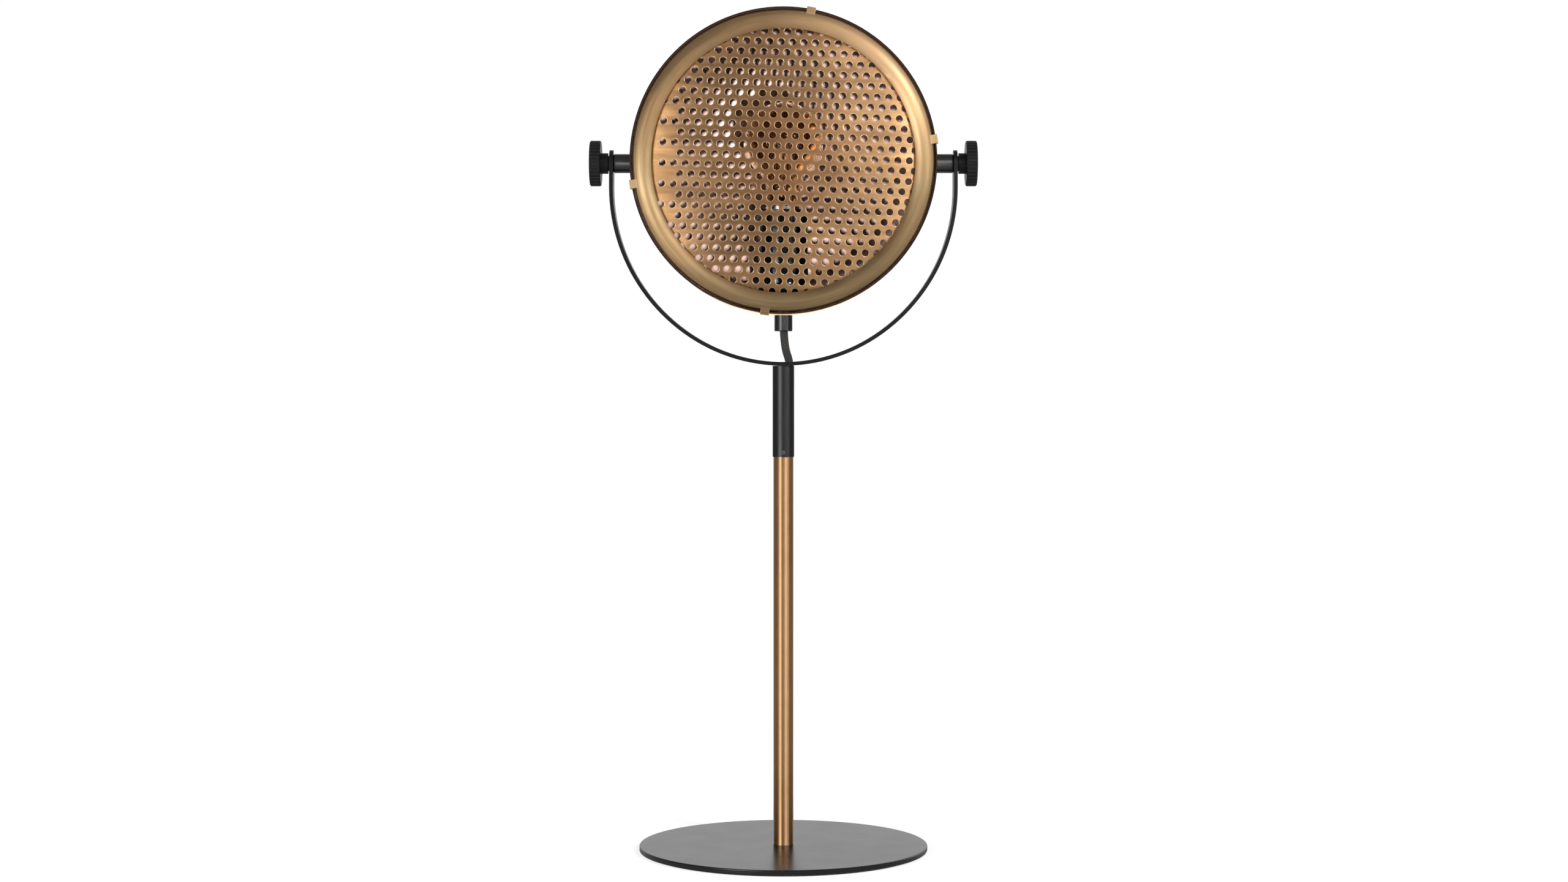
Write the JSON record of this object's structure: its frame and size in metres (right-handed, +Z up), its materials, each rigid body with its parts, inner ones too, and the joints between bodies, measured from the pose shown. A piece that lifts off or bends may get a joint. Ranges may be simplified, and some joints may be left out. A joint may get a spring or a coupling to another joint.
{
  "type": "tabletop searchlight lamp",
  "caption": "Table lamp: a round drum head with a perforated front, hung on clamp knobs in a flat strip yoke, tilts over a stem on a round base.",
  "frame": {"origin": "centre of the base pad's underside, on the stem's axis", "axes": "+Z up along the stem; the lamp shines towards -Y; the tilt axis runs along X"},
  "size_m": [0.2902, 0.215, 0.6269],
  "materials": {
    "brushed_brass": "brushed antique brass",
    "black_coat": "matt black powder coat",
    "black_nickel": "dark glossy plating",
    "steel": "plain zinc-plated steel",
    "black_plastic": "matt black",
    "bakelite": "glossy black",
    "core_white": "white glazed",
    "contact_brass": "plain brass",
    "bulb_shell_metal": "bright",
    "amber_glass": "clear amber",
    "clear_glass": "clear",
    "pad_rubber": "matt",
    "lead_textile": "black braid",
    "wire_sleeve": "insulation"
  },
  "bodies": {
    "stand": {"base_plate": "black_coat", "base_pad": "pad_rubber", "base_screw": "steel", "stem_plug": "steel", "stem": "brushed_brass", "outlet_grommet": "black_plastic", "stem_spigot": "steel", "sleeve": "black_coat", "lead_grommet": "black_plastic", "stem_grub_screw": "steel", "sleeve_grub_screw": "black_nickel", "sleeve_plug": "steel", "yoke": "black_coat", "yoke_screw": "black_nickel", "head_lead": "lead_textile", "lead_splice": "black_plastic"},
    "head": {"lead_wires": "wire_sleeve", "head_shell": "brushed_brass", "trunnion_right": "black_nickel", "trunnion_washer_right": "steel", "trunnion_nut_right": "steel", "trunnion_left": "black_nickel", "trunnion_washer_left": "steel", "trunnion_nut_left": "steel", "cord_grip": "black_plastic", "holder_nipple": "steel", "nipple_washer": "steel", "holder_cap": "bakelite", "holder_skirt": "bakelite", "holder_ring": "bakelite", "holder_core": "core_white", "holder_contact": "contact_brass", "holder_thread": "contact_brass", "holder_terminals": "contact_brass", "bulb_cap": "bulb_shell_metal", "bulb_tip": "bulb_shell_metal", "bulb_insulator": "bakelite", "bulb_glass": "amber_glass", "bulb_mount": "clear_glass", "bulb_supports": "steel", "bulb_filament": "steel"},
    "front": {"front_ring": "brushed_brass", "grille": "brushed_brass", "grille_retainer": "steel"},
    "knob_left": {"knob_left": "black_plastic", "stud_left": "steel"},
    "knob_right": {"knob_right": "black_plastic", "stud_right": "steel"}
  },
  "joints": [
    {"name": "head_tilt", "type": "hinge", "parent": "stand", "child": "head", "pos_m": [0, 0, 0.5137], "axis": [1, 0, 0], "range_deg": [-20, 20], "deforming": ["head_lead"]},
    {"name": "knob_left_turn", "type": "hinge", "parent": "head", "child": "knob_left", "pos_m": [-0.14, 0, 0.5137], "axis": [-1, 0, 0], "range_deg": [0, 360]},
    {"name": "knob_right_turn", "type": "hinge", "parent": "head", "child": "knob_right", "pos_m": [0.14, 0, 0.5137], "axis": [1, 0, 0], "range_deg": [0, 360]},
    {"name": "front_ring_pull", "type": "slide", "parent": "head", "child": "front", "axis": [0, -1, 0], "range_m": [0, 0.03]}
  ]
}
